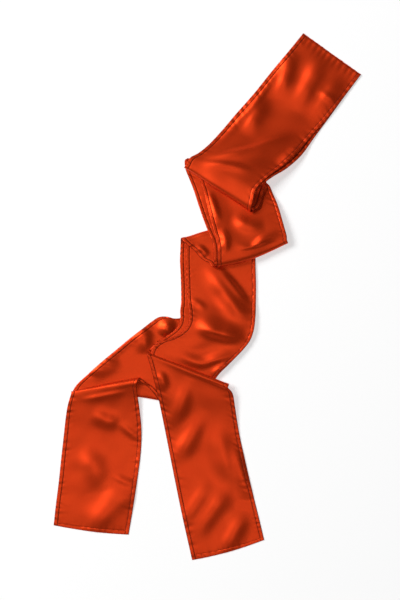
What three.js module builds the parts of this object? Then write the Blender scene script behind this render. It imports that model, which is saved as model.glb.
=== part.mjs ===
// A long, narrow satin scarf, doubled at its centre seam and laid down in loose zigzag folds.
//
// The scarf is one strip of cloth, STRIP_WIDTH wide. Its two halves lie on each other from the centre
// seam, at the top right, down through two tucks, and then part: the upper half turns down to the tail on
// the right, and the lower half crosses to the left and turns down to the other tail. Every fold is made
// in the cloth itself, so each half is one surface, cut into the stretches that lie between the folds.
//
// Frame: millimetres, +Z up, the scarf lies on Z = 0, with the origin at the middle of its outline.
// +Y runs from the tails to the centre seam.
import * as THREE from "three";

const CLOTH = 1.0; // wall thickness of the cloth
const LAYER_PITCH = 1.6; // from the middle of one layer to the middle of the layer that lies on it
const SEAM_GAP = 0.3; // between neighbouring stretches
const PAIR = LAYER_PITCH / 2 + CLOTH / 2; // height of the middle of a pair of layers that lies on the floor
const ACROSS = 6; // facets across the strip
const TURN_ROWS = 5; // sections in each half turn
const FLOOR = CLOTH / 2; // height of the middle of one layer that lies on the floor

// A table with named columns: each line of numbers becomes an object with those names.
function table(names, lines) {
  const keys = names.split(" ");
  return lines.map((line) => Object.fromEntries(keys.map((key, i) => [key, line[i] ?? 0])));
}

// A section is a line across the strip, from its left edge to its right edge. sag moves its middle.
function section(left, right, sag = [0, 0, 0], spread = 0) {
  return {
    left: new THREE.Vector3(...left),
    right: new THREE.Vector3(...right),
    sag: new THREE.Vector3(...sag),
    spread,
  };
}

const COLUMNS = "leftX leftY leftZ rightX rightY rightZ spread sagX sagY sagZ";

function panel(lines) {
  return table(COLUMNS, lines).map((r) =>
    section([r.leftX, r.leftY, r.leftZ], [r.rightX, r.rightY, r.rightZ], [r.sagX, r.sagY, r.sagZ], r.spread),
  );
}

// A half turn about a line in plan, from the left edge to the right edge. At each edge the cloth comes in
// at height `from`, goes out at height `to`, stands `reach` in front of where it starts to turn, and goes
// out `slide` along the line from where it came in. `heading` is 1 where the strip heads down the layout,
// `bow` bends the whole turn in plan, and `belly` swells the middle of its front.
function turn(front, { left, right, heading, bow = [0, 0], belly = [0, 0], spread = [0, 0] }) {
  const along = new THREE.Vector2(front[2] - front[0], front[3] - front[1]).normalize();
  const outward = new THREE.Vector2(along.y, -along.x).multiplyScalar(heading);
  const rows = [];
  for (let k = 0; k < TURN_ROWS; k++) {
    const share = k / (TURN_ROWS - 1);
    const angle = Math.PI * share;
    const edge = (x, y, side) => {
      const back = side.reach * (1 - Math.sin(angle));
      const shift = (side.slide ?? 0) * (share - 0.5);
      return [
        x - outward.x * back + along.x * shift,
        y - outward.y * back + along.y * shift,
        (side.from + side.to) / 2 + ((side.from - side.to) / 2) * Math.cos(angle),
      ];
    };
    const swell = Math.sin(angle);
    rows.push(
      section(
        edge(front[0], front[1], left),
        edge(front[2], front[3], right),
        [bow[0] + belly[0] * swell, bow[1] + belly[1] * swell, 0],
        spread[0] + (spread[1] - spread[0]) * share,
      ),
    );
  }
  return rows;
}

// ---------------------------------------------------------------------------------------------------
// The doubled strip, from the centre seam to where the halves part. Heights are those of the middle of
// the pair, plan places are those of the upper half's edges, and spread is how far the lower half's
// edges lie to the right of them (to the left where it is negative).

const TOP_PANEL = panel([
  [99, 274, PAIR, 159, 231, PAIR, 0],
  [84, 255.5, PAIR, 144, 211, PAIR, 0],
  [66, 234, PAIR, 126, 188, PAIR, 1],
  [48, 211.5, 1.6, 109, 168.5, 2.4, 3],
  [30, 191, 2.4, 93, 150, 5, 5],
  [14, 172, 4.2, 78, 136, 9, 4.5],
  [0, 157, 6.6, 66, 127, 12.5, 3],
  [-10, 149, 8.4, 56, 118.5, 15, 2],
  [-18, 144.5, 9.6, 49.5, 110, 16.6, 1],
]);

// The big roll at the foot of the top panel opens to the right like a cone.
const FIRST_ROLL = turn([-23.6, 135.4, 45.5, 89.3], {
  heading: 1,
  left: { from: 9.8, to: 5.8, reach: 2.6 },
  right: { from: 16.6, to: 9.6, reach: 8, slide: 8 },
});

const FIRST_RETURN = panel([[-20.6, 139.8, 5.0, 57, 105, 6.4, 0]]);

const FIRST_TUCK = turn([-18.4, 143, 61.5, 121.5], {
  heading: -1,
  left: { from: 4.8, to: 1.4, reach: 1.7 },
  right: { from: 4.8, to: PAIR, reach: 1.7 },
  spread: [0, -5],
});

const SECOND_PANEL = panel([
  [-12, 131, PAIR, 64.5, 116, PAIR, -11],
  [-8, 122, PAIR, 68, 107.5, 2.1, -11.5],
  [-4, 110, 2, 72, 98, 4.6, -10.5],
  [-1, 97, 3.8, 75, 89, 6.9, -9],
  [2.5, 83, 6.8, 77.5, 80, 8.4, -7.5],
  [6, 70, 9.8, 80, 71, 8.8, -6],
  [10, 56, 12, 82, 63.5, 8.8, -4.5],
]);

const SECOND_ROLL = turn([9, 31.5, 83, 57.5], {
  heading: 1,
  left: { from: 12.6, to: 5.8, reach: 7, slide: -8 },
  right: { from: 8.8, to: 4.8, reach: 2.5 },
  belly: [1.2, -3.4],
  spread: [-4, -2],
});

const SECOND_RETURN = panel([
  [-4, 40, 5.4, 75, 63, 4.6, -1.5],
  [-13, 49, 5.4, 66, 71.5, 4.4, -1],
]);

const SECOND_TUCK = turn([-25, 61.5, 51, 83.5], {
  heading: -1,
  left: { from: 6.4, to: 1.6, reach: 3.2 },
  right: { from: 4.4, to: PAIR, reach: 1.6 },
  spread: [-1, -4],
});

const THIRD_PANEL = panel([
  [-22.5, 52, PAIR, 50, 74, PAIR, -6],
  [-22.5, 40, PAIR, 50, 56, PAIR, -6.3],
  [-22, 24, PAIR, 50, 34, PAIR, -6],
  [-21.5, 8, PAIR, 50.5, 12, PAIR, -6],
]);

// ---------------------------------------------------------------------------------------------------
// The upper half by itself: it bends to the left, and a pleat turns it down to the right-hand tail.

const UPPER_BEND = panel([
  [-20.5, -5, 3.3, 50.3, -6, 2.8],
  [-19, -14, 5.3, 49.8, -20, 4.4],
  [-18.8, -23, 6.6, 48, -34, 5.3],
  [-22, -31, 7, 44, -45, 5.3],
  [-28.5, -37.5, 6.8, 38, -53, 5.3],
  [-38, -42.5, 6, 30, -61.5, 5.3],
  [-49, -45.8, 5.5, 21, -70.5, 5.3],
  [-57, -52.5, 5.3, 12, -79.5, 5.3],
]);

const UPPER_TUCK = turn([-60.2, -64.5, 0, -98], {
  heading: 1,
  left: { from: 5.3, to: 6.9, reach: 1 },
  right: { from: 3, to: 4.7, reach: 1 },
});

const UPPER_PLEAT = turn([-62.5, -57.5, 22.5, -89.3], {
  heading: -1,
  left: { from: 7.1, to: 8.7, reach: 1 },
  right: { from: 6.2, to: 9.8, reach: 4 },
});

const UPPER_TAIL = panel([
  [-60.8, -65, 8.6, 25.8, -99, 7.6],
  [-57, -79, 7.8, 28.5, -113, 5],
  [-52.5, -98, 5.6, 31, -129, 2.4],
  [-48, -119, 2.7, 34, -146, 0.9],
  [-42.8, -145, 0.8, 38, -164, FLOOR],
  [-37.5, -172, FLOOR, 43, -186, FLOOR],
  [-31.5, -202, FLOOR, 48.3, -208, FLOOR],
  [-25, -233, FLOOR, 54, -231, FLOOR, 0, 0, -1],
  [-16, -273, FLOOR, 59, -252, FLOOR, 0, 0.5, -2],
]);

// ---------------------------------------------------------------------------------------------------
// The lower half by itself: it bends to the left with the upper half, is tucked back under itself out of
// sight, crosses the floor to the left, and a pleat turns it down to the left-hand tail.

const LOWER_BEND = panel([
  [-27.5, -6, 1.1, 45, -8, 1.1],
  [-28.4, -14, 2.7, 46, -20, 2.7],
  [-28.2, -21, 3.7, 45, -33, 3.7],
  [-30.2, -28.5, 3.7, 41, -43, 3.7],
  [-35, -34.5, 3.7, 35.5, -51, 3.7],
  [-42.5, -40, 3.7, 28, -59, 3.7],
  [-51, -45.5, 3.7, 19.5, -67.5, 3.7],
  [-57, -50.5, 3.7, 11, -75.5, 3.7],
]);

const LOWER_FIRST_TUCK = turn([-60.4, -55.3, 6, -79], {
  heading: 1,
  left: { from: 3.7, to: 2.1, reach: 1 },
  right: { from: 3.7, to: 2.1, reach: 1 },
});

const LOWER_RETURN = panel([
  [-53, -50.5, 2.1, 11, -76, 2.1],
  [-43, -44, 2.1, 20, -67.5, 2.1],
  [-33.5, -37.5, 2.1, 29, -58, 2.1],
  [-27.5, -28.5, 2.1, 36, -48, 2.1],
]);

const LOWER_SECOND_TUCK = turn([-24.5, -18.5, 41, -37.5], {
  heading: -1,
  left: { from: 2.1, to: FLOOR, reach: 1 },
  right: { from: 2.1, to: FLOOR, reach: 1 },
});

const LOWER_CROSSING = panel([
  [-29.5, -21.6, FLOOR, 37, -44, FLOOR],
  [-36, -21.6, FLOOR, 32, -50.5, FLOOR],
  [-43, -19.8, FLOOR, 27, -56, FLOOR],
  [-50.5, -20.4, FLOOR, 20, -62, FLOOR],
  [-58, -25, FLOOR, 13, -68, FLOOR],
  [-68, -32.8, FLOOR, 3, -75.5, FLOOR],
  [-80, -42, FLOOR, -8, -82, FLOOR],
  [-95, -54.5, FLOOR, -20, -91, FLOOR],
  [-110, -67, FLOOR, -31, -99, FLOOR, 0, 0, 1],
  [-124, -79.5, FLOOR, -39.5, -103.5, FLOOR, 0, 0, 3],
  [-137, -92, FLOOR, -44, -105.5, FLOOR, 0, 0, 4.4],
]);

const LOWER_TUCK = turn([-142.3, -103.5, -46.5, -107.8], {
  heading: 1,
  left: { from: FLOOR, to: 2.2, reach: 1 },
  right: { from: FLOOR, to: 2.3, reach: 1 },
  bow: [0, 4],
});

const LOWER_FLAP = panel([[-141.6, -101, 2.3, -56.5, -93.5, 3.2, 0, 0, 2]]);

const LOWER_PLEAT = turn([-141.5, -98, -70.5, -83.4], {
  heading: -1,
  left: { from: 2.4, to: 4.0, reach: 1 },
  right: { from: 4.6, to: 9, reach: 3.6, slide: -6 },
});

const LOWER_TAIL = panel([
  [-143.2, -105, 3.9, -73.8, -92, 7.6],
  [-145.6, -114, 3.2, -72.4, -102, 5.2],
  [-147.6, -127, 1.8, -70.4, -117, 3],
  [-149.6, -145, 0.8, -68.6, -136, 1.2],
  [-152, -166, FLOOR, -69, -158, FLOOR],
  [-154.5, -190, FLOOR, -72.5, -187, FLOOR],
  [-157.5, -214, FLOOR, -77, -217, FLOOR, 0, 0, -0.8],
  [-160, -236.8, FLOOR, -82, -246.6, FLOOR, 0, 0, -1.6],
]);

// ---------------------------------------------------------------------------------------------------
// Surfaces

// The smooth surface through a list of sections. u counts sections, and v goes from the left edge (0) to
// the right edge (1).
function surface(sections) {
  const last = sections.length - 1;
  const curve = (name, type) =>
    new THREE.CatmullRomCurve3(
      sections.map((s) => s[name]),
      false,
      type,
    );
  const left = curve("left", "centripetal");
  const right = curve("right", "centripetal");
  const sag = curve("sag", "catmullrom");
  const at = (u, v) => {
    const share = Math.min(Math.max(u / last, 0), 1);
    const point = left
      .getPoint(share)
      .lerp(right.getPoint(share), v)
      .addScaledVector(sag.getPoint(share), 4 * v * (1 - v));
    return point.setZ(Math.max(point.z, FLOOR));
  };
  const STEP = 0.02;
  const normal = (u, v) => {
    const along = at(Math.min(u + STEP, last), v).sub(at(Math.max(u - STEP, 0), v));
    const across = at(u, v + STEP).sub(at(u, v - STEP));
    return along.cross(across).normalize();
  };
  return { at, normal, last };
}

// Sections of one layer of the doubled strip: the pair's own, moved out along the normal.
function layerSections(pair, offset, spreads) {
  const middle = surface(pair);
  return pair.map((s, i) => {
    const width = s.right.distanceTo(s.left);
    const shift = spreads ? s.spread / width : 0;
    const place = (v) => middle.at(i, v).addScaledVector(middle.normal(i, v), offset);
    return { left: place(shift), right: place(1 + shift), sag: s.sag.clone() };
  });
}

// The centre seam: each half wraps a quarter turn round the end of the doubled strip, down to the seam.
function seamSections(pair, offset) {
  const middle = surface(pair);
  const back = pair[0].left.clone().sub(pair[1].left).setZ(0).normalize();
  const QUARTER_STEPS = 3;
  const gap = SEAM_GAP / Math.abs(offset);
  return Array.from({ length: QUARTER_STEPS }, (_, k) => {
    const angle = (Math.PI / 2) * (1 - k / QUARTER_STEPS) - gap * (1 - k / QUARTER_STEPS);
    const place = (v) =>
      middle
        .at(0, v)
        .addScaledVector(middle.normal(0, v), offset * Math.cos(angle))
        .addScaledVector(back, Math.abs(offset) * Math.sin(angle));
    return { left: place(0), right: place(1), sag: new THREE.Vector3() };
  });
}

// A closed wall, CLOTH thick, on the part of a surface from section u0 to section u1.
function wall(shape, u0, u1, steps) {
  const top = [];
  const bottom = [];
  for (let i = 0; i <= steps; i++) {
    const u = u0 + ((u1 - u0) * i) / steps;
    for (let j = 0; j <= ACROSS; j++) {
      const point = shape.at(u, j / ACROSS);
      const out = shape.normal(u, j / ACROSS).multiplyScalar(CLOTH / 2);
      top.push(point.clone().add(out));
      bottom.push(point.clone().sub(out));
    }
  }
  const index = [];
  const count = top.length;
  const at = (i, j) => i * (ACROSS + 1) + j;
  const quad = (a, b, c, d) => index.push(a, b, c, a, c, d);
  for (let i = 0; i < steps; i++)
    for (let j = 0; j < ACROSS; j++) {
      const [a, b, c, d] = [at(i, j), at(i + 1, j), at(i + 1, j + 1), at(i, j + 1)];
      quad(a, b, c, d);
      quad(count + a, count + d, count + c, count + b);
    }
  const rim = (a, b) => quad(a, count + a, count + b, b);
  for (let i = 0; i < steps; i++) {
    rim(at(i, 0), at(i + 1, 0));
    rim(at(i + 1, ACROSS), at(i, ACROSS));
  }
  for (let j = 0; j < ACROSS; j++) {
    rim(at(0, j + 1), at(0, j));
    rim(at(steps, j), at(steps, j + 1));
  }
  const geometry = new THREE.BufferGeometry();
  geometry.setAttribute(
    "position",
    new THREE.Float32BufferAttribute(
      [...top, ...bottom].flatMap((p) => p.toArray()),
      3,
    ),
  );
  geometry.setIndex(index);
  geometry.computeVertexNormals();
  return geometry;
}

const satin = (tint) => new THREE.MeshStandardMaterial({ color: tint, roughness: 0.35, metalness: 0.1 });
const scarf = new THREE.Group();

// Adds the stretches of one half, in order. Each stretch is [name, its sections, steps per section].
function addHalf(prefix, tint, stretches) {
  const sections = stretches.flatMap(([, rows]) => rows);
  const shape = surface(sections);
  let start = 0;
  stretches.forEach(([name, rows, fineness]) => {
    const end = Math.min(start + rows.length, shape.last);
    const trim = (u, towards) => {
      if (u <= 0 || u >= shape.last) return u;
      const edgeStep = (v) => shape.at(u + 0.05, v).distanceTo(shape.at(u - 0.05, v)) / 0.1;
      return u + (towards * SEAM_GAP) / 2 / Math.min(edgeStep(0), edgeStep(1));
    };
    const mesh = new THREE.Mesh(
      wall(shape, trim(start, 1), trim(end, -1), Math.round((end - start) * fineness)),
      satin(tint),
    );
    mesh.name = `${prefix}_${name}`;
    scarf.add(mesh);
    start = end;
  });
}

const pair = [
  TOP_PANEL,
  FIRST_ROLL,
  [...FIRST_RETURN, ...FIRST_TUCK],
  SECOND_PANEL,
  SECOND_ROLL,
  SECOND_RETURN,
  SECOND_TUCK,
  THIRD_PANEL,
];
const PAIR_STRETCHES = [
  ["top_panel", 2],
  ["first_roll", 2],
  ["first_tuck", 2],
  ["second_panel", 2],
  ["second_roll", 2],
  ["second_return", 2],
  ["second_tuck", 2],
  ["third_panel", 2],
];

// One half: its layer of the doubled strip, and its own tail.
function half(prefix, tint, offset, ownStretches) {
  const layer = layerSections(pair.flat(), offset, offset < 0);
  let used = 0;
  const shared = PAIR_STRETCHES.map(([name, fineness], i) => {
    const rows = layer.slice(used, used + pair[i].length);
    used += pair[i].length;
    return [name, rows, fineness];
  });
  shared[0][1] = [...seamSections(pair.flat(), offset), ...shared[0][1]];
  addHalf(prefix, tint, [...shared, ...ownStretches]);
}

half("upper", "#c63c1c", LAYER_PITCH / 2, [
  ["bend", UPPER_BEND, 2],
  ["tail_pleat", [...UPPER_TUCK, ...UPPER_PLEAT], 2],
  ["tail", UPPER_TAIL, 2],
]);
half("lower", "#b83317", -LAYER_PITCH / 2, [
  ["bend", LOWER_BEND, 2],
  ["hidden_tuck", [...LOWER_FIRST_TUCK, ...LOWER_RETURN, ...LOWER_SECOND_TUCK], 2],
  ["crossing", LOWER_CROSSING, 1],
  ["tail_pleat", [...LOWER_TUCK, ...LOWER_FLAP, ...LOWER_PLEAT], 2],
  ["tail", LOWER_TAIL, 2],
]);

export default scarf;
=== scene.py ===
import math

import bmesh
import bpy
import numpy as np
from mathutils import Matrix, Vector


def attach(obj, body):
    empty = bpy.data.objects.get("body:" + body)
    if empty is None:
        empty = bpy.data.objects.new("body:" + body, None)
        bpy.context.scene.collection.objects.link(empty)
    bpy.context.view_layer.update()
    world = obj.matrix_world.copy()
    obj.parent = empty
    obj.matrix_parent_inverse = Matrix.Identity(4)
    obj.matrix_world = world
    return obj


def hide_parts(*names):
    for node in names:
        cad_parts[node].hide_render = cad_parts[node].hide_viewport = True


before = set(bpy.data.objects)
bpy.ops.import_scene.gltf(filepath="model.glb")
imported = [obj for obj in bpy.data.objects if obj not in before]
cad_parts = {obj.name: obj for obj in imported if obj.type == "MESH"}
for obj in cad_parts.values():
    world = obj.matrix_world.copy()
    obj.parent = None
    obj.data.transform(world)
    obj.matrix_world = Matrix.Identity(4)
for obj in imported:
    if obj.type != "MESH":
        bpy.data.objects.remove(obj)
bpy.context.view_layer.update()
MM = 0.001

# --- Camera -----------------------------------------------------------------------------------------
# The scarf lies on a table and is seen from straight above, from far enough back that its low folds
# keep their true places.
VIEW_HEIGHT = 624 * MM
LENS = 120
SENSOR = 36
camera_data = bpy.data.cameras.new("camera")
camera_data.lens = LENS
camera_data.sensor_width = SENSOR
camera = bpy.data.objects.new("camera", camera_data)
camera.location = (-7.8 * MM, -2.6 * MM, VIEW_HEIGHT * LENS / SENSOR)
bpy.context.collection.objects.link(camera)
bpy.context.scene.camera = camera

# --- Table and studio -------------------------------------------------------------------------------
# A plain matt white sweep: a flat disc with a far wall round it. It shows as plain white, and the part
# of it that answers to the lamps keeps the scarf's soft shadow.


def linear(hex_colour):
    """An sRGB hex colour as linear RGBA."""
    channels = [int(hex_colour[i : i + 2], 16) / 255 for i in (1, 3, 5)]
    return [c / 12.92 if c <= 0.04045 else ((c + 0.055) / 1.055) ** 2.4 for c in channels] + [1]


def add(tree, kind, settings=(), **links):
    """Adds a node. links gives each input, by name or as i and a number, a value or a socket to feed it."""
    node = tree.nodes.new(kind)
    for key, value in dict(settings).items():
        setattr(node, key, value)
    for key, value in links.items():
        numbered = key[0] == "i" and key[1:].isdigit()
        socket = node.inputs[int(key[1:]) if numbered else key.replace("_", " ")]
        if isinstance(value, bpy.types.NodeSocket):
            tree.links.new(value, socket)
        else:
            socket.default_value = value
    return node


def multiply(tree, value, factor):
    """A node that multiplies a socket's value by a number."""
    return add(tree, "ShaderNodeMath", {"operation": "MULTIPLY"}, i0=value, i1=factor)


FLOOR_RADIUS = 15
WALL_HEIGHT = 7
FLOOR_SIDES = 96
bpy.ops.object.select_all(action="DESELECT")
bpy.ops.mesh.primitive_circle_add(vertices=FLOOR_SIDES, radius=FLOOR_RADIUS, fill_type="NGON")
sweep = bpy.context.object
sweep.name = "white_sweep"
bpy.ops.object.mode_set(mode="EDIT")
bpy.ops.mesh.select_all(action="SELECT")
bpy.ops.mesh.extrude_region_move()
bpy.ops.transform.translate(value=(0, 0, WALL_HEIGHT))
bpy.ops.object.mode_set(mode="OBJECT")
bm = bmesh.new()
bm.from_mesh(sweep.data)
lid = [f for f in bm.faces if f.calc_center_median().z > WALL_HEIGHT - 0.1]
bmesh.ops.delete(bm, geom=lid, context="FACES")
if not any(abs(f.calc_center_median().z) < 1e-6 for f in bm.faces):
    rim = [v for v in bm.verts if v.co.z < 0.1]
    bm.faces.new(sorted(rim, key=lambda v: math.atan2(v.co.y, v.co.x)))
bm.to_mesh(sweep.data)
bm.free()

PAPER_GLOW = 0.56
PAPER_SHADE = 0.6
ROOM_LIGHT = 0.06
paper = bpy.data.materials.new("matt_white_paper")
paper.use_nodes = True
tree = paper.node_tree
tree.nodes.clear()
light_path = add(tree, "ShaderNodeLightPath")
seen = light_path.outputs["Is Camera Ray"]
for ray in ("Is Glossy Ray", "Is Transmission Ray"):
    sum_settings = {"operation": "ADD", "use_clamp": ray == "Is Transmission Ray"}
    seen = add(tree, "ShaderNodeMath", sum_settings, i0=seen, i1=light_path.outputs[ray]).outputs[0]
lift = multiply(tree, seen, PAPER_GLOW)
glow = add(tree, "ShaderNodeEmission", Color=(1, 1, 1, 1), Strength=lift.outputs[0])
matt = add(tree, "ShaderNodeBsdfDiffuse", Color=(PAPER_SHADE, PAPER_SHADE, PAPER_SHADE, 1))
both = add(tree, "ShaderNodeAddShader", i0=glow.outputs[0], i1=matt.outputs[0])
add(tree, "ShaderNodeOutputMaterial", Surface=both.outputs[0])
sweep.data.materials.append(paper)

world = bpy.data.worlds.new("studio")
world.use_nodes = True
background = world.node_tree.nodes["Background"]
background.inputs["Color"].default_value = (1, 1, 1, 1)
background.inputs["Strength"].default_value = ROOM_LIGHT
bpy.context.scene.world = world
bpy.context.scene.view_settings.view_transform = "Standard"


def softbox(name, place, power, size):
    """A square soft lamp that faces the scarf."""
    lamp = bpy.data.lights.new(name, "AREA")
    lamp.energy = power
    lamp.size = size
    holder = bpy.data.objects.new(name, lamp)
    holder.location = place
    holder.rotation_euler = (-Vector(place)).to_track_quat("-Z", "Y").to_euler()
    bpy.context.collection.objects.link(holder)


softbox("key_softbox", (-2.3, 1.2, 2.6), 118, 1.5)
softbox("top_softbox", (0.1, -0.4, 3.0), 9, 1.0)

# --- Upper half of the strip ------------------------------------------------------------------------
# One length of double-faced polyester satin, hemmed along both long edges. It runs from the centre seam
# at the doubled end, on top of the lower half through both tucks, and then by itself down to the
# right-hand tail. Its sections are lines across the strip, from its left edge to its right edge.
STRIP_WIDTH = 77
PAIR = 1.3
PITCH = 1.6
FLOOR = 0.5
TURN_ROWS = 5
SEAM_ROWS = 3
SEAM_GAP = 0.3
COLUMNS = "lx ly lz rx ry rz spread sag_x sag_y sag_z".split()


def panel(lines):
    """Sections from a table with the named COLUMNS, in millimetres."""
    return [dict(zip(COLUMNS, list(line) + [0] * (len(COLUMNS) - len(line)))) for line in lines]


def turn(front, heading, left, right, bow=(0, 0), belly=(0, 0), spread=(0, 0)):
    """A half turn about a line in plan. left and right give (height in, height out, reach, slide)."""
    start, end = np.array(front[:2], float), np.array(front[2:], float)
    along = (end - start) / np.linalg.norm(end - start)
    outward = np.array([along[1], -along[0]]) * heading
    rows = []
    for k in range(TURN_ROWS):
        share = k / (TURN_ROWS - 1)
        angle = math.pi * share
        row = {}
        for side, place, (high, low, reach, slide) in (("l", start, left), ("r", end, right)):
            spot = place - outward * reach * (1 - math.sin(angle)) + along * slide * (share - 0.5)
            row[side + "x"], row[side + "y"] = spot
            row[side + "z"] = (high + low) / 2 + (high - low) / 2 * math.cos(angle)
        row["spread"] = spread[0] + (spread[1] - spread[0]) * share
        row["sag_x"] = bow[0] + belly[0] * math.sin(angle)
        row["sag_y"] = bow[1] + belly[1] * math.sin(angle)
        row["sag_z"] = 0
        rows.append(row)
    return rows


PAIR_STRETCHES = {
    "top_panel": panel(
        [
            (99, 274, PAIR, 159, 231, PAIR, 0),
            (84, 255.5, PAIR, 144, 211, PAIR, 0),
            (66, 234, PAIR, 126, 188, PAIR, 1),
            (48, 211.5, 1.6, 109, 168.5, 2.4, 3),
            (30, 191, 2.4, 93, 150, 5, 5),
            (14, 172, 4.2, 78, 136, 9, 4.5),
            (0, 157, 6.6, 66, 127, 12.5, 3),
            (-10, 149, 8.4, 56, 118.5, 15, 2),
            (-18, 144.5, 9.6, 49.5, 110, 16.6, 1),
        ]
    ),
    "first_roll": turn((-23.6, 135.4, 45.5, 89.3), 1, (9.8, 5.8, 2.6, 0), (16.6, 9.6, 8, 8)),
    "first_tuck": panel([(-20.6, 139.8, 5.0, 57, 105, 6.4, 0)])
    + turn((-18.4, 143, 61.5, 121.5), -1, (4.8, 1.4, 1.7, 0), (4.8, PAIR, 1.7, 0), spread=(0, -5)),
    "second_panel": panel(
        [
            (-12, 131, PAIR, 64.5, 116, PAIR, -11),
            (-8, 122, PAIR, 68, 107.5, 2.1, -11.5),
            (-4, 110, 2, 72, 98, 4.6, -10.5),
            (-1, 97, 3.8, 75, 89, 6.9, -9),
            (2.5, 83, 6.8, 77.5, 80, 8.4, -7.5),
            (6, 70, 9.8, 80, 71, 8.8, -6),
            (10, 56, 12, 82, 63.5, 8.8, -4.5),
        ]
    ),
    "second_roll": turn(
        (9, 31.5, 83, 57.5), 1, (12.6, 5.8, 7, -8), (8.8, 4.8, 2.5, 0), belly=(1.2, -3.4), spread=(-4, -2)
    ),
    "second_return": panel([(-4, 40, 5.4, 75, 63, 4.6, -1.5), (-13, 49, 5.4, 66, 71.5, 4.4, -1)]),
    "second_tuck": turn((-25, 61.5, 51, 83.5), -1, (6.4, 1.6, 3.2, 0), (4.4, PAIR, 1.6, 0), spread=(-1, -4)),
    "third_panel": panel(
        [
            (-22.5, 52, PAIR, 50, 74, PAIR, -6),
            (-22.5, 40, PAIR, 50, 56, PAIR, -6.3),
            (-22, 24, PAIR, 50, 34, PAIR, -6),
            (-21.5, 8, PAIR, 50.5, 12, PAIR, -6),
        ]
    ),
}
UPPER_STRETCHES = {
    "bend": panel(
        [
            (-20.5, -5, 3.3, 50.3, -6, 2.8),
            (-19, -14, 5.3, 49.8, -20, 4.4),
            (-18.8, -23, 6.6, 48, -34, 5.3),
            (-22, -31, 7, 44, -45, 5.3),
            (-28.5, -37.5, 6.8, 38, -53, 5.3),
            (-38, -42.5, 6, 30, -61.5, 5.3),
            (-49, -45.8, 5.5, 21, -70.5, 5.3),
            (-57, -52.5, 5.3, 12, -79.5, 5.3),
        ]
    ),
    "tail_pleat": turn((-60.2, -64.5, 0, -98), 1, (5.3, 6.9, 1, 0), (3, 4.7, 1, 0))
    + turn((-62.5, -57.5, 22.5, -89.3), -1, (7.1, 8.7, 1, 0), (6.2, 9.8, 4, 0)),
    "tail": panel(
        [
            (-60.8, -65, 8.6, 25.8, -99, 7.6),
            (-57, -79, 7.8, 28.5, -113, 5),
            (-52.5, -98, 5.6, 31, -129, 2.4),
            (-48, -119, 2.7, 34, -146, 0.9),
            (-42.8, -145, 0.8, 38, -164, FLOOR),
            (-37.5, -172, FLOOR, 43, -186, FLOOR),
            (-31.5, -202, FLOOR, 48.3, -208, FLOOR),
            (-25, -233, FLOOR, 54, -231, FLOOR, 0, 0, -1),
            (-16, -273, FLOOR, 59, -252, FLOOR, 0, 0.5, -2),
        ]
    ),
}


def spline(points, u, centripetal=True):
    """The smooth curve through the points, at u counted in points."""
    pts = np.asarray(points, float)
    last = len(pts) - 1
    i = np.clip(np.floor(u).astype(int), 0, last - 1)
    w = (u - i)[:, None]
    padded = np.vstack([2 * pts[0] - pts[1], pts, 2 * pts[-1] - pts[-2]])
    p0, p1, p2, p3 = (padded[i + k] for k in range(4))
    if centripetal:
        gap = lambda a, b: np.sqrt(np.linalg.norm(b - a, axis=1))[:, None]
        d0, d1, d2 = gap(p0, p1), gap(p1, p2), gap(p2, p3)
        d1 = np.where(d1 < 1e-4, 1, d1)
        d0 = np.where(d0 < 1e-4, d1, d0)
        d2 = np.where(d2 < 1e-4, d1, d2)
        t1 = ((p1 - p0) / d0 - (p2 - p0) / (d0 + d1) + (p2 - p1) / d1) * d1
        t2 = ((p2 - p1) / d1 - (p3 - p1) / (d1 + d2) + (p3 - p2) / d2) * d1
    else:
        t1, t2 = 0.5 * (p2 - p0), 0.5 * (p3 - p1)
    return p1 + t1 * w + (-3 * p1 + 3 * p2 - 2 * t1 - t2) * w**2 + (2 * p1 - 2 * p2 + t1 + t2) * w**3


class Surface:
    """The smooth surface through a list of sections: u counts sections and v runs across, from 0 to 1."""

    def __init__(self, rows):
        self.left = [(r["lx"], r["ly"], r["lz"]) for r in rows]
        self.right = [(r["rx"], r["ry"], r["rz"]) for r in rows]
        self.sag = [(r["sag_x"], r["sag_y"], r["sag_z"]) for r in rows]
        self.last = len(rows) - 1

    def at(self, u, v):
        u = np.clip(u, 0, self.last)
        v = np.asarray(v)[..., None]
        point = spline(self.left, u) * (1 - v) + spline(self.right, u) * v
        point = point + spline(self.sag, u, False) * 4 * v * (1 - v)
        point[:, 2] = np.maximum(point[:, 2], FLOOR)
        return point

    def normal(self, u, v, step=0.02):
        along = self.at(np.minimum(u + step, self.last), v) - self.at(np.maximum(u - step, 0), v)
        across = self.at(u, v + step) - self.at(u, v - step)
        n = np.cross(along, across)
        return n / np.linalg.norm(n, axis=1)[:, None]


def layer_rows(pair_rows, offset, spreads):
    """One layer of the doubled strip: the pair's sections moved out, after a quarter turn at the seam."""
    middle = Surface(pair_rows)
    rows = []

    def row_at(place, sag):
        left, right = place
        names = ("lx", "ly", "lz", "rx", "ry", "rz", "sag_x", "sag_y", "sag_z")
        return dict(zip(names, (*left, *right, *sag)))

    first = np.array([0.0])
    back = np.array(middle.left[0]) - np.array(middle.left[1])
    back[2] = 0
    back /= np.linalg.norm(back)
    for k in range(SEAM_ROWS):
        angle = (math.pi / 2 - SEAM_GAP / abs(offset)) * (1 - k / SEAM_ROWS)
        place = [
            middle.at(first, np.array([v]))[0]
            + middle.normal(first, np.array([v]))[0] * offset * math.cos(angle)
            + back * abs(offset) * math.sin(angle)
            for v in (0.0, 1.0)
        ]
        rows.append(row_at(place, (0, 0, 0)))
    for i, r in enumerate(pair_rows):
        width = np.linalg.norm(np.array(middle.right[i]) - np.array(middle.left[i]))
        shift = r["spread"] / width if spreads else 0
        at = np.array([float(i)])
        place = [
            middle.at(at, np.array([v + shift]))[0] + middle.normal(at, np.array([v + shift]))[0] * offset
            for v in (0.0, 1.0)
        ]
        rows.append(row_at(place, middle.sag[i]))
    return rows


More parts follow.
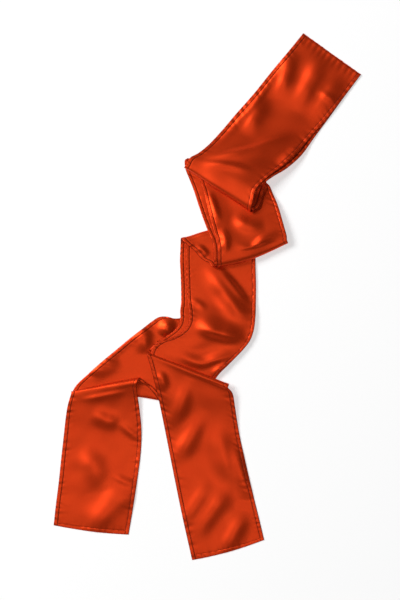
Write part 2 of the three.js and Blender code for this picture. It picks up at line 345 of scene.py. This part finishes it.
CREASE_STEPS = 12
CREASE_FADE = 0.42


def crease_height(x, y, creases):
    """Sum of soft ridges at places in plan. A crease is (rise, width to its left, to its right, points)."""
    total = np.zeros_like(x)
    for rise, left, right, points in creases:
        pts = np.array(points, float)
        fine = spline(pts, np.linspace(0, len(pts) - 1, CREASE_STEPS * (len(pts) - 1) + 1))
        steps = np.linalg.norm(np.diff(fine, axis=0), axis=1)
        length = np.concatenate([[0], np.cumsum(steps)])
        best = np.full(x.shape, 1e9)
        side = np.zeros_like(x)
        share = np.zeros_like(x)
        for k in range(len(fine) - 1):
            (ax, ay), (bx, by) = fine[k], fine[k + 1]
            ex, ey = bx - ax, by - ay
            t = np.clip(((x - ax) * ex + (y - ay) * ey) / (ex * ex + ey * ey), 0, 1)
            dx, dy = x - ax - t * ex, y - ay - t * ey
            d = np.hypot(dx, dy)
            nearer = d < best
            best = np.where(nearer, d, best)
            side = np.where(nearer, np.sign(ex * dy - ey * dx), side)
            share = np.where(nearer, (length[k] + t * steps[k]) / length[-1], share)
        width = np.where(side > 0, left, right)
        fade = np.clip(np.minimum(share, 1 - share) / CREASE_FADE, 0, 1)
        fade = fade * fade * (3 - 2 * fade)
        total += rise * fade * np.exp(-((best / width) ** 2))
    return total


HEM = 3.7
HALF_WALL = 0.24
HEM_HALF_WALL = 0.42
HEM_GROOVE = 0.14
HEM_STEP = 0.5
GROOVE_PLACE = 0.1
GROOVE_WIDTH = 0.45
EDGE_SHARE = 0.45
EDGE_ROUNDING = 0.6
HEM_COLUMNS = [0, 0.35, 1.0, 1.9, 2.8, 3.3, HEM, 4.1, 4.7, 5.6, 6.8, 8.2]
INNER_COLUMNS = 40
TAIL_HEM_ROWS = [0.35, 1.0, 2.8, 3.3, HEM, 4.1, 4.7]
ROW_STEP = 1.3
ZONE_FADE = 5
LOWEST_MIDDLE = 0.32
TABLE_GAP = 0.02
MIDDLE_STEPS = 6000
PUCKER_SPAN = 6
PUCKER_REACH = 18
PUCKER_WIDTH = 1.5
PUCKER_DEPTH = 0.42
PUCKER_SWELL = 0.22
SWELL_PLACE = 3.2
TAIL_PUCKER_DEPTH = 0.4
SEAM_PUCKER_DEPTH = 0.5
SEAM_PUCKER_WIDTH = 1.7
SEAM_PUCKER_PLACE = 4
END_PUCKER_REACH = 6
WAVE_COUNT = 14
WAVE_HEIGHT = 0.09
LONGEST_WAVE = 46


def strip_columns():
    """Distances across the strip, in millimetres, close together at the hems."""
    inner = np.linspace(HEM_COLUMNS[-1], STRIP_WIDTH - HEM_COLUMNS[-1], INNER_COLUMNS + 2)[1:-1]
    return np.array(HEM_COLUMNS + list(inner) + [STRIP_WIDTH - e for e in reversed(HEM_COLUMNS)])


def dent(near, width, inward, reach):
    """A pucker's shape: how it dies away to its sides, and inward from the stitching that pulls it."""
    return np.exp(-((near / width) ** 2)) * np.exp(-((inward / reach) ** 2))


def pucker_height(s, t, length, rng):
    """The dents along both long hems, the tail hem and the centre seam, uneven in place, depth and reach."""
    height = np.zeros_like(s)
    for inward in (t, STRIP_WIDTH - t):
        places = np.cumsum(rng.uniform(5.2, 9.5, int(length / 5)))
        depth = rng.uniform(0.25, 1.0, len(places))
        reach = rng.uniform(3.5, 8.0, len(places))
        slant = rng.uniform(-0.5, 0.5, len(places))
        for place, deep, far, lean in zip(places, depth, reach, slant):
            near = np.abs(s - place - lean * inward)
            on = (near < PUCKER_SPAN) & (inward < PUCKER_REACH)
            held_by_edge = np.clip(0.35 + inward[on] / 5, 0, 1)
            dip = dent(near[on], PUCKER_WIDTH, inward[on], far) * held_by_edge
            swell = dent(near[on] - SWELL_PLACE, PUCKER_WIDTH, inward[on], far)
            height[on] += deep * (PUCKER_SWELL * swell - PUCKER_DEPTH * dip)
    from_tail = length - s
    for place in np.cumsum(rng.uniform(5.0, 8.5, 14)):
        near = np.abs(t - place)
        on = (near < PUCKER_SPAN) & (from_tail < PUCKER_REACH)
        height[on] -= TAIL_PUCKER_DEPTH * dent(near[on], PUCKER_WIDTH, from_tail[on], END_PUCKER_REACH)
    for place in np.cumsum(rng.uniform(5.5, 8.5, 13)):
        near = np.abs(t - place)
        on = (near < PUCKER_SPAN + 1) & (s < PUCKER_REACH + SEAM_PUCKER_PLACE)
        from_line = s[on] - SEAM_PUCKER_PLACE
        height[on] -= SEAM_PUCKER_DEPTH * dent(near[on], SEAM_PUCKER_WIDTH, from_line, END_PUCKER_REACH)
    return height


def slack_height(s, t, rng):
    """Slack cloth is never quite even: low waves of many lengths and headings."""
    waves = np.zeros_like(s)
    for _ in range(WAVE_COUNT):
        angle, size = rng.uniform(0, math.tau), rng.uniform(14, LONGEST_WAVE)
        phase = rng.uniform(0, math.tau)
        along = s * math.cos(angle) + t * math.sin(angle)
        waves += np.sin(along * math.tau / size + phase) * size / LONGEST_WAVE
    return waves * WAVE_HEIGHT


def shell_mesh(name, top, bottom, s, t):
    """A closed thin shell between two grids of points, with its place on the cut strip as its UV."""
    rows_n, cols_n = top.shape[:2]
    total = rows_n * cols_n
    index = np.arange(total).reshape(rows_n, cols_n)
    a, b, c, d = index[:-1, :-1], index[1:, :-1], index[1:, 1:], index[:-1, 1:]
    upper_faces = np.stack([a, b, c, d], axis=-1).reshape(-1, 4)
    lower_faces = np.stack([a, d, c, b], axis=-1).reshape(-1, 4) + total

    def rim(p, q):
        return np.stack([p, p + total, q + total, q], axis=-1).reshape(-1, 4)

    faces = np.vstack(
        [
            upper_faces,
            lower_faces,
            rim(index[:-1, 0], index[1:, 0]),
            rim(index[1:, -1], index[:-1, -1]),
            rim(index[0, 1:], index[0, :-1]),
            rim(index[-1, :-1], index[-1, 1:]),
        ]
    )
    mesh = bpy.data.meshes.new(name)
    verts = np.vstack([top.reshape(-1, 3), bottom.reshape(-1, 3)]) * MM
    mesh.vertices.add(len(verts))
    mesh.vertices.foreach_set("co", verts.ravel())
    mesh.loops.add(faces.size)
    mesh.loops.foreach_set("vertex_index", faces.ravel().astype(np.int32))
    mesh.polygons.add(len(faces))
    mesh.polygons.foreach_set("loop_start", np.arange(0, faces.size, 4, dtype=np.int32))
    mesh.polygons.foreach_set("use_smooth", np.ones(len(faces), bool))
    mesh.update(calc_edges=True)
    mesh.validate()
    cut = mesh.uv_layers.new(name="cut")
    flat = np.stack([np.tile(t, 2), np.tile(s, 2)], axis=-1) * MM
    cut.data.foreach_set("uv", flat[faces.ravel()].ravel())
    return mesh


def make_half(name, rows, stretches, creases, seed):
    """Makes one half of the strip as a closed thin shell, with its hems, puckers and creases."""
    shape = Surface(rows)
    u_fine = np.linspace(0, shape.last, MIDDLE_STEPS)
    middle = shape.at(u_fine, np.full_like(u_fine, 0.5))
    run = np.concatenate([[0], np.cumsum(np.linalg.norm(np.diff(middle, axis=0), axis=1))])
    length = run[-1]
    s_rows = np.linspace(0, length, int(length / ROW_STEP))
    s_rows = np.sort(np.concatenate([s_rows, length - np.array(TAIL_HEM_ROWS)]))
    u_rows = np.interp(s_rows, run, u_fine)
    t_cols = strip_columns()
    u = np.repeat(u_rows, len(t_cols))
    v = np.tile(t_cols / STRIP_WIDTH, len(s_rows))
    s = np.repeat(s_rows, len(t_cols))
    t = np.tile(t_cols, len(s_rows))
    point = shape.at(u, v)
    normal = shape.normal(u, v)

    # Creases stand up from the stretches that they are on, and fade out at the folds that bound these.
    plan_x, plan_y = point[:, 0].copy(), point[:, 1].copy()
    for (first, final), lines in creases.items():
        s0, s1 = np.interp([stretches[first][0], stretches[final][1]], u_fine, run)
        on = np.clip((s - s0) / ZONE_FADE, 0, 1) if s0 > 0 else np.ones_like(s)
        if s1 < length - 1:
            on = on * np.clip((s1 - s) / ZONE_FADE, 0, 1)
        live = on > 0
        height = crease_height(plan_x[live], plan_y[live], lines)
        point[live, 2] += on[live] ** 2 * (3 - 2 * on[live]) * height

    rng = np.random.default_rng(seed)
    unevenness = pucker_height(s, t, length, rng) + slack_height(s, t, rng)
    point += normal * unevenness[:, None]
    point[:, 2] = np.maximum(point[:, 2], LOWEST_MIDDLE)

    # The wall is doubled at the hems, has a groove at the stitch line, and thins at the very edge.
    grid_size = (len(s_rows), len(t_cols))
    grid = point.reshape(*grid_size, 3)
    out = np.cross(np.gradient(grid, axis=0), np.gradient(grid, axis=1))
    out /= np.linalg.norm(out, axis=2)[..., None]
    inward = np.minimum(np.minimum(t, STRIP_WIDTH - t), length - s).reshape(grid_size)
    hem = np.clip((HEM - inward) / HEM_STEP + 0.5, 0, 1)
    half = HALF_WALL + (HEM_HALF_WALL - HALF_WALL) * hem
    half -= HEM_GROOVE * np.exp(-(((inward - HEM - GROOVE_PLACE) / GROOVE_WIDTH) ** 2))
    half *= np.clip(EDGE_SHARE + inward / EDGE_ROUNDING, 0, 1)
    top = grid + out * half[..., None]
    bottom = grid - out * half[..., None]
    raised = np.clip(TABLE_GAP - np.minimum(bottom[..., 2], top[..., 2]), 0, None)
    top[..., 2] += raised
    bottom[..., 2] += raised

    piece = bpy.data.objects.new(name, shell_mesh(name, top, bottom, s, t))
    bpy.context.collection.objects.link(piece)
    return piece, (top, bottom, out, s_rows, t_cols, length)


def join_stretches(groups):
    """All sections in order, and each stretch's range of u."""
    rows, ranges = [], {}
    for name, group in groups.items():
        start = len(rows)
        rows += group
        ranges[name] = (start, len(rows))
    return rows, ranges


def half_rows(offset, own):
    """The rows of one half from the seam to its tail, and each stretch's range."""
    pair_rows, ranges = join_stretches(PAIR_STRETCHES)
    rows = layer_rows(pair_rows, offset, offset < 0)
    seam_rows = len(rows) - len(pair_rows)
    ranges = {k: (a + seam_rows, b + seam_rows) for k, (a, b) in ranges.items()}
    ranges["top_panel"] = (0, ranges["top_panel"][1])
    own_rows, own_ranges = join_stretches(own)
    ranges.update({k: (a + len(rows), b + len(rows)) for k, (a, b) in own_ranges.items()})
    return rows + own_rows, ranges


# Rise, width on the left and on the right of the line as it is drawn, and the line, in millimetres.
UPPER_CREASES = {
    ("top_panel", "top_panel"): [
        (3.4, 4.5, 10.0, [(-12, 141), (10, 145.5), (45, 153.5), (62, 160), (96, 168)]),
        (2.6, 8.0, 8.0, [(74, 204), (80, 226), (90, 260)]),
        (3.0, 11.0, 10.0, [(92, 190), (106, 222), (122, 256)]),
        (1.8, 8.0, 9.0, [(104, 180), (124, 208), (142, 232)]),
        (2.4, 8.0, 9.0, [(40, 166), (50, 190), (62, 210)]),
        (1.2, 3.0, 3.5, [(4, 152), (20, 168.5), (36, 187), (52, 205.5), (70, 230), (84, 249)]),
        (1.6, 5.0, 6.0, [(70, 137), (84, 146), (100, 160)]),
        (0.9, 3.6, 4.0, [(140, 200), (128, 206), (112, 217)]),
        (1.5, 3.0, 5.0, [(-6, 139.5), (20, 137), (50, 131)]),
    ],
    ("second_panel", "second_panel"): [
        (1.5, 3.0, 4.5, [(1, 112), (8, 92), (13, 76)]),
        (1.8, 3.5, 5.0, [(14, 73), (19, 60), (17, 44)]),
        (2.4, 4.0, 5.0, [(26, 54), (46, 50), (57, 60), (66, 63.5), (78, 66)]),
        (2.0, 6.0, 7.0, [(24, 84), (44, 74), (60, 76)]),
    ],
    ("third_panel", "bend"): [
        (4.2, 9.0, 9.0, [(-6, 38), (7, 21), (24, -3), (40, -22), (47, -30)]),
        (2.0, 3.5, 5.0, [(8, 34), (22, 18), (38, -2), (46, -12)]),
        (4.6, 10.0, 6.5, [(-17, -27), (0, -33), (20, -38.5), (42, -42)]),
        (2.2, 5.5, 4.5, [(-34, -58), (-8, -68), (10, -64), (34, -57)]),
        (1.5, 3.5, 3.5, [(2, -82), (12, -74), (24, -67)]),
        (0.9, 3.4, 3.4, [(-21, -2), (-12, -5), (0, -13)]),
    ],
    ("tail", "tail"): [
        (2.4, 8.5, 8.5, [(-42, -140), (-26, -108), (-22, -78)]),
        (1.6, 4.5, 4.5, [(-44, -98), (-49, -74)]),
        (2.3, 9.0, 9.0, [(-36, -178), (-18, -146), (0, -116)]),
        (2.6, 11.0, 11.0, [(26, -206), (17, -166), (4, -122)]),
        (1.9, 8.0, 8.0, [(-28, -240), (-10, -212), (6, -188)]),
        (2.3, 9.0, 9.0, [(-18, -258), (4, -224), (26, -190)]),
        (2.0, 8.0, 8.0, [(10, -274), (28, -245), (44, -216)]),
        (1.8, 6.0, 6.0, [(26, -146), (35, -180), (43, -212)]),
    ],
}
upper_rows, upper_ranges = half_rows(PITCH / 2, UPPER_STRETCHES)
upper, upper_cloth = make_half("upper_half", upper_rows, upper_ranges, UPPER_CREASES, seed=11)

# Satin is woven with long floats along the strip, so it gleams in its own colour where it turns to the
# light, and goes deep and dull where it turns away. Both faces are the same.
satin = bpy.data.materials.new("polyester_satin")
satin.use_nodes = True
tree = satin.node_tree
tree.nodes.clear()
cut_map = add(tree, "ShaderNodeUVMap", {"uv_map": "cut"})
# Real floats are about 0.1 mm apart. They are drawn coarser, as faint streaks 0.8 mm apart and 12 mm long.
STREAKS_PER_M = (1250, 80, 1)
CLOUDS_PER_M = (40, 40, 1)
streak_scale = add(tree, "ShaderNodeMapping", Vector=cut_map.outputs[0], Scale=STREAKS_PER_M)
streaks = add(tree, "ShaderNodeTexNoise", Vector=streak_scale.outputs[0], Scale=1, Detail=2)
cloud_scale = add(tree, "ShaderNodeMapping", Vector=cut_map.outputs[0], Scale=CLOUDS_PER_M)
clouds = add(tree, "ShaderNodeTexNoise", Vector=cloud_scale.outputs[0], Scale=1, Detail=3)
scale_and_add = {"operation": "MULTIPLY_ADD"}
tone = add(tree, "ShaderNodeMath", scale_and_add, i0=streaks.outputs[0], i1=0.35, i2=0.3)
tone = add(tree, "ShaderNodeMath", scale_and_add, i0=clouds.outputs[0], i1=0.35, i2=tone.outputs[0])
colour = add(
    tree,
    "ShaderNodeMix",
    {"data_type": "RGBA"},
    Factor=tone.outputs[0],
    A=linear("#d4310b"),
    B=linear("#e64614"),
)
# A dark line is drawn along each long edge and along the hem's inner fold, for the shade they hold.
HEM_LINE = 3.8
across = add(tree, "ShaderNodeSeparateXYZ", Vector=cut_map.outputs[0])
half_width = STRIP_WIDTH / 2 * MM
inward = add(tree, "ShaderNodeMath", {"operation": "PINGPONG"}, i0=across.outputs[0], i1=half_width)
within = {"operation": "COMPARE"}
on_edge = add(tree, "ShaderNodeMath", within, i0=inward.outputs[0], i1=0.0, i2=0.6 * MM)
on_fold = add(tree, "ShaderNodeMath", within, i0=inward.outputs[0], i1=HEM_LINE * MM, i2=0.5 * MM)
either = {"operation": "MAXIMUM"}
on_line = add(tree, "ShaderNodeMath", either, i0=on_edge.outputs[0], i1=on_fold.outputs[0])
shade = multiply(tree, on_line.outputs[0], 0.6)
colour = add(
    tree,
    "ShaderNodeMix",
    {"data_type": "RGBA"},
    Factor=shade.outputs[0],
    A=colour.outputs["Result"],
    B=linear("#5e1204"),
)
bump = add(tree, "ShaderNodeBump", Strength=0.12, Distance=0.0001, Height=streaks.outputs[0])
gleam = add(
    tree,
    "ShaderNodeBsdfPrincipled",
    Base_Color=colour.outputs["Result"],
    Metallic=0.88,
    Roughness=0.44,
    Normal=bump.outputs[0],
)
add(tree, "ShaderNodeOutputMaterial", Surface=gleam.outputs[0])
upper.data.materials.append(satin)


def nodes_of(half, ranges):
    """The CAD nodes of one half."""
    return [f"{half}_{name}" for name in ranges]


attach(upper, "root")
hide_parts(*nodes_of("upper", upper_ranges))

# --- Lower half of the strip ------------------------------------------------------------------------
# The other length of the same satin, sewn to the first at the centre seam. It lies under the upper half
# through both tucks, bends with it, is tucked back under itself out of sight, crosses the table to the
# left, and is pleated down to the left-hand tail.
LOWER_STRETCHES = {
    "bend": panel(
        [
            (-27.5, -6, 1.1, 45, -8, 1.1),
            (-28.4, -14, 2.7, 46, -20, 2.7),
            (-28.2, -21, 3.7, 45, -33, 3.7),
            (-30.2, -28.5, 3.7, 41, -43, 3.7),
            (-35, -34.5, 3.7, 35.5, -51, 3.7),
            (-42.5, -40, 3.7, 28, -59, 3.7),
            (-51, -45.5, 3.7, 19.5, -67.5, 3.7),
            (-57, -50.5, 3.7, 11, -75.5, 3.7),
        ]
    ),
    "hidden_tuck": turn((-60.4, -55.3, 6, -79), 1, (3.7, 2.1, 1, 0), (3.7, 2.1, 1, 0))
    + panel(
        [
            (-53, -50.5, 2.1, 11, -76, 2.1),
            (-43, -44, 2.1, 20, -67.5, 2.1),
            (-33.5, -37.5, 2.1, 29, -58, 2.1),
            (-27.5, -28.5, 2.1, 36, -48, 2.1),
        ]
    )
    + turn((-24.5, -18.5, 41, -37.5), -1, (2.1, FLOOR, 1, 0), (2.1, FLOOR, 1, 0)),
    "crossing": panel(
        [
            (-29.5, -21.6, FLOOR, 37, -44, FLOOR),
            (-36, -21.6, FLOOR, 32, -50.5, FLOOR),
            (-43, -19.8, FLOOR, 27, -56, FLOOR),
            (-50.5, -20.4, FLOOR, 20, -62, FLOOR),
            (-58, -25, FLOOR, 13, -68, FLOOR),
            (-68, -32.8, FLOOR, 3, -75.5, FLOOR),
            (-80, -42, FLOOR, -8, -82, FLOOR),
            (-95, -54.5, FLOOR, -20, -91, FLOOR),
            (-110, -67, FLOOR, -31, -99, FLOOR, 0, 0, 1),
            (-124, -79.5, FLOOR, -39.5, -103.5, FLOOR, 0, 0, 3),
            (-137, -92, FLOOR, -44, -105.5, FLOOR, 0, 0, 4.4),
        ]
    ),
    "tail_pleat": turn((-142.3, -103.5, -46.5, -107.8), 1, (FLOOR, 2.2, 1, 0), (FLOOR, 2.3, 1, 0), bow=(0, 4))
    + panel([(-141.6, -101, 2.3, -56.5, -93.5, 3.2, 0, 0, 2)])
    + turn((-141.5, -98, -70.5, -83.4), -1, (2.4, 4.0, 1, 0), (4.6, 9, 3.6, -6)),
    "tail": panel(
        [
            (-143.2, -105, 3.9, -73.8, -92, 7.6),
            (-145.6, -114, 3.2, -72.4, -102, 5.2),
            (-147.6, -127, 1.8, -70.4, -117, 3),
            (-149.6, -145, 0.8, -68.6, -136, 1.2),
            (-152, -166, FLOOR, -69, -158, FLOOR),
            (-154.5, -190, FLOOR, -72.5, -187, FLOOR),
            (-157.5, -214, FLOOR, -77, -217, FLOOR, 0, 0, -0.8),
            (-160, -236.8, FLOOR, -82, -246.6, FLOOR, 0, 0, -1.6),
        ]
    ),
}
LOWER_CREASES = {
    ("second_return", "second_return"): [(1.4, 3.0, 3.5, [(-14, 54), (-6, 50), (2, 40)])],
    ("crossing", "crossing"): [
        (3.6, 7.0, 7.0, [(-45, -20), (-42, -30), (-46, -42)]),
        (2.8, 9.0, 7.0, [(-64, -60), (-66, -44), (-62, -28)]),
        (2.2, 7.0, 8.0, [(-124, -82), (-106, -72), (-88, -66)]),
        (1.2, 3.5, 4.5, [(-136, -91), (-110, -69.5), (-82, -46.5), (-60, -29.5)]),
    ],
    ("tail", "tail"): [
        (2.2, 4.5, 7.0, [(-136, -103), (-112, -97), (-95, -93), (-80, -96)]),
        (1.0, 3.8, 4.4, [(-66, -148), (-78, -142), (-94, -128)]),
        (1.0, 3.8, 4.4, [(-71, -195), (-84, -192), (-102, -183)]),
        (2.8, 13.0, 12.0, [(-134, -252), (-102, -220), (-66, -184)]),
        (2.4, 12.0, 12.0, [(-132, -152), (-118, -180), (-112, -204)]),
        (1.8, 7.0, 7.0, [(-122, -118), (-104, -128), (-88, -126)]),
    ],
}
lower_rows, lower_ranges = half_rows(-PITCH / 2, LOWER_STRETCHES)
lower, lower_cloth = make_half("lower_half", lower_rows, lower_ranges, LOWER_CREASES, seed=23)
lower.data.materials.append(satin)
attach(lower, "root")
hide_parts(*nodes_of("lower", lower_ranges))

# --- Hem stitching ----------------------------------------------------------------------------------
# Each hem is held by one row of lockstitch in matching polyester thread, sunk into the satin, with a
# stitch about every 2.6 mm on both faces.
STITCH_PITCH = 2.6
STITCH_LENGTH = 1.9
STITCH_RADIUS = 0.17
STITCH_LIFT = 0.02
STITCH_SINK = 0.05


def stitch_rows(name, cloth):
    """Makes a half's rows of stitches, lying on both of its faces along the hems."""
    top, bottom, out, s_rows, t_cols, length = cloth
    column = int(np.argmin(np.abs(t_cols - HEM)))
    tail_row = int(np.argmin(np.abs(s_rows - (length - HEM))))
    verts, faces = [], []
    for surface, sign in ((top, 1), (bottom, -1)):
        lines = [
            (surface[: tail_row + 1, column], out[: tail_row + 1, column]),
            (surface[: tail_row + 1, -1 - column], out[: tail_row + 1, -1 - column]),
            (surface[tail_row, column : -1 - column], out[tail_row, column : -1 - column]),
        ]
        for path, normals in lines:
            run = np.concatenate([[0], np.cumsum(np.linalg.norm(np.diff(path, axis=0), axis=1))])
            for start in np.arange(1.0, run[-1] - STITCH_LENGTH, STITCH_PITCH):
                ends = np.array([start, start + STITCH_LENGTH / 2, start + STITCH_LENGTH])
                p = np.stack([np.interp(ends, run, path[:, k]) for k in range(3)], axis=-1)
                n = np.array([np.interp(start, run, normals[:, k]) for k in range(3)]) * sign
                n /= np.linalg.norm(n)
                way = p[2] - p[0]
                way /= np.linalg.norm(way)
                side = np.cross(way, n) * STITCH_RADIUS
                first = len(verts)
                ring = p[1] + n * STITCH_LIFT
                verts += [p[0] - n * STITCH_SINK, p[2] - n * STITCH_SINK]
                verts += [ring + side, ring + n * STITCH_RADIUS, ring - side, ring - n * STITCH_RADIUS]
                for k in range(4):
                    q, r = first + 2 + k, first + 2 + (k + 1) % 4
                    faces += [(first, r, q), (first + 1, q, r)]
    mesh = bpy.data.meshes.new(name)
    mesh.from_pydata([tuple(v * MM) for v in verts], [], faces)
    bm = bmesh.new()
    bm.from_mesh(mesh)
    bmesh.ops.recalc_face_normals(bm, faces=bm.faces)
    bm.to_mesh(mesh)
    bm.free()
    piece = bpy.data.objects.new(name, mesh)
    bpy.context.collection.objects.link(piece)
    return piece


thread = bpy.data.materials.new("polyester_thread")
thread.use_nodes = True
tree = thread.node_tree
tree.nodes.clear()
place = add(tree, "ShaderNodeTexCoord")
# Two plies twist round each other about every 0.7 mm.
diagonal = {"bands_direction": "DIAGONAL"}
ply = add(tree, "ShaderNodeTexWave", diagonal, Vector=place.outputs["Object"], Scale=450)
shade = add(
    tree,
    "ShaderNodeMix",
    {"data_type": "RGBA"},
    Factor=ply.outputs["Fac"],
    A=linear("#8a1f0a"),
    B=linear("#a32a10"),
)
twist = add(tree, "ShaderNodeBump", Strength=0.3, Distance=0.0001, Height=ply.outputs["Fac"])
yarn = add(
    tree,
    "ShaderNodeBsdfPrincipled",
    Base_Color=shade.outputs["Result"],
    Roughness=0.55,
    Normal=twist.outputs[0],
)
add(tree, "ShaderNodeOutputMaterial", Surface=yarn.outputs[0])

for half, cloth in ((upper, upper_cloth), (lower, lower_cloth)):
    stitches = stitch_rows(f"{half.name}_stitches", cloth)
    stitches.data.materials.append(thread)
    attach(stitches, "root")
